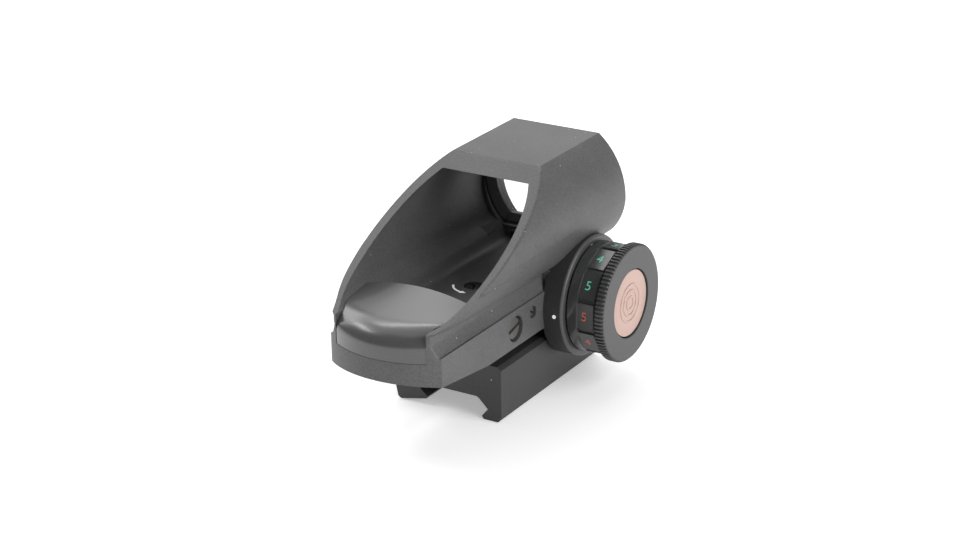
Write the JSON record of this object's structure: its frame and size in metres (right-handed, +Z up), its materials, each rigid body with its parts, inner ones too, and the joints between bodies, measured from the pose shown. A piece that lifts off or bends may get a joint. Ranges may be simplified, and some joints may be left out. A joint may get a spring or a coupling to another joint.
{
  "type": "red dot finder",
  "caption": "Hooded reflex sight with a tilted lens, a rear lamp under a glossy cover, a stepped brightness dial over a coin cell, and a clamp for a cross-slot rail.",
  "frame": {"origin": "centre of the clamp's seat, the flat face that rests on the rail", "axes": "+Z up away from the rail, +Y along the rail towards the target, +X towards the brightness dial"},
  "size_m": [0.0528, 0.0856, 0.0592],
  "materials": {
    "anodised_black": "satin fine-textured black anodising",
    "anodised_clamp": "satin black anodising",
    "gloss_black_plastic": "glossy black",
    "satin_grey_cap": "satin dark grey",
    "matte_black_plastic": "matte black",
    "coated_glass": "coated lens glass",
    "clear_plastic": "clear window",
    "black_rubber": "matte rubber",
    "blackened_steel": "blackened steel",
    "bright_steel": "bright steel",
    "copper_plate": "satin copper colour",
    "brass": "brass",
    "nickel_plate": "nickel plate",
    "board_green": "circuit board",
    "red_epoxy": "red lamp epoxy",
    "white_paint": "white paint"
  },
  "bodies": {
    "sight": {"housing": "anodised_black", "lens_frame": "matte_black_plastic", "lens": "coated_glass", "lens_pad": "black_rubber", "lamp_cover": "gloss_black_plastic", "lamp_window": "clear_plastic", "cover_screw_left": "blackened_steel", "cover_screw_right": "blackened_steel", "lamp_lead": "black_rubber", "elevation_spring": "bright_steel", "windage_spring": "bright_steel", "dial_screw": "bright_steel", "switch_board": "board_green", "detent_ball": "bright_steel", "detent_spring": "bright_steel", "index_dot": "white_paint", "rail_clamp": "anodised_clamp", "clamp_pin": "blackened_steel", "mount_screw_front": "blackened_steel", "mount_screw_rear": "blackened_steel"},
    "yoke": {"arm_yoke": "brass"},
    "arm": {"lamp_arm": "matte_black_plastic", "lamp": "red_epoxy", "arm_pin": "bright_steel"},
    "elevation": {"elevation_screw": "blackened_steel"},
    "windage": {"windage_screw": "blackened_steel"},
    "lock": {"lock_screw": "blackened_steel"},
    "dial": {"brightness_dial": "gloss_black_plastic", "switch_wiper": "bright_steel", "coin_cell": "nickel_plate", "cell_contact": "bright_steel"},
    "seal": {"cap_seal": "black_rubber"},
    "cap": {"battery_cap": "satin_grey_cap", "cap_inlay": "copper_plate"},
    "plate": {"clamp_plate": "anodised_clamp"},
    "washer_rear": {"clamp_washer_rear": "blackened_steel"},
    "washer_front": {"clamp_washer_front": "blackened_steel"},
    "screw_rear": {"clamp_screw_rear": "blackened_steel"},
    "screw_front": {"clamp_screw_front": "blackened_steel"}
  },
  "joints": [
    {"name": "elevation_turn", "type": "hinge", "parent": "sight", "child": "elevation", "pos_m": [0, -0.0125, 0.0233], "axis": [0, 0, 1], "range_deg": [-90, 90]},
    {"name": "windage_turn", "type": "hinge", "parent": "sight", "child": "windage", "pos_m": [0.0149, -0.0184, 0.0175], "axis": [1, 0, 0], "range_deg": [-115, 115]},
    {"name": "lock_turn", "type": "hinge", "parent": "sight", "child": "lock", "pos_m": [0.0148, -0.0101, 0.0189], "axis": [1, 0, 0], "range_deg": [0, 360]},
    {"name": "arm_swing", "type": "hinge", "parent": "sight", "child": "yoke", "pos_m": [0, 0.001, 0.0183], "axis": [0, 0, 1], "range_deg": [-0.45, 0.45]},
    {"name": "arm_tilt", "type": "hinge", "parent": "yoke", "child": "arm", "pos_m": [0, 0.001, 0.0183], "axis": [1, 0, 0], "range_deg": [-0.5, 0.5]},
    {"name": "dial_turn", "type": "hinge", "parent": "sight", "child": "dial", "pos_m": [0.024, 0.0103, 0.0172], "axis": [1, 0, 0], "continuous": true},
    {"name": "cap_rise", "type": "slide", "parent": "dial", "child": "seal", "axis": [1, 0, 0], "range_m": [0, 0.003]},
    {"name": "cap_turn", "type": "hinge", "parent": "seal", "child": "cap", "pos_m": [0.024, 0.0103, 0.0172], "axis": [1, 0, 0], "range_deg": [0, 1440]},
    {"name": "rear_screw_turn", "type": "hinge", "parent": "washer_rear", "child": "screw_rear", "pos_m": [-0.0187, -0.017, 0.0022], "axis": [-1, 0, 0], "range_deg": [0, 400]},
    {"name": "front_screw_turn", "type": "hinge", "parent": "washer_front", "child": "screw_front", "pos_m": [-0.0187, 0.017, 0.0022], "axis": [-1, 0, 0], "range_deg": [0, 400]},
    {"name": "rear_washer_slide", "type": "slide", "parent": "sight", "child": "washer_rear", "axis": [-1, 0, 0], "range_m": [0, 0.0005]},
    {"name": "front_washer_slide", "type": "slide", "parent": "sight", "child": "washer_front", "axis": [-1, 0, 0], "range_m": [0, 0.0005]},
    {"name": "plate_swing", "type": "hinge", "parent": "sight", "child": "plate", "pos_m": [-0.0152, 0, 0.0062], "axis": [0, 1, 0], "range_deg": [0, 13.5]}
  ],
  "couplings": [
    {"joint": "elevation_turn", "follows": "arm_tilt", "ratio": -169.5},
    {"joint": "windage_turn", "follows": "arm_swing", "ratio": 244},
    {"joint": "cap_rise", "follows": "cap_turn", "m_per_rad": 0.000119},
    {"joint": "rear_screw_turn", "follows": "plate_swing", "ratio": 29.4},
    {"joint": "front_screw_turn", "follows": "plate_swing", "ratio": 29.4},
    {"joint": "rear_washer_slide", "follows": "plate_swing", "m_per_rad": 0.0021},
    {"joint": "front_washer_slide", "follows": "plate_swing", "m_per_rad": 0.0021}
  ]
}
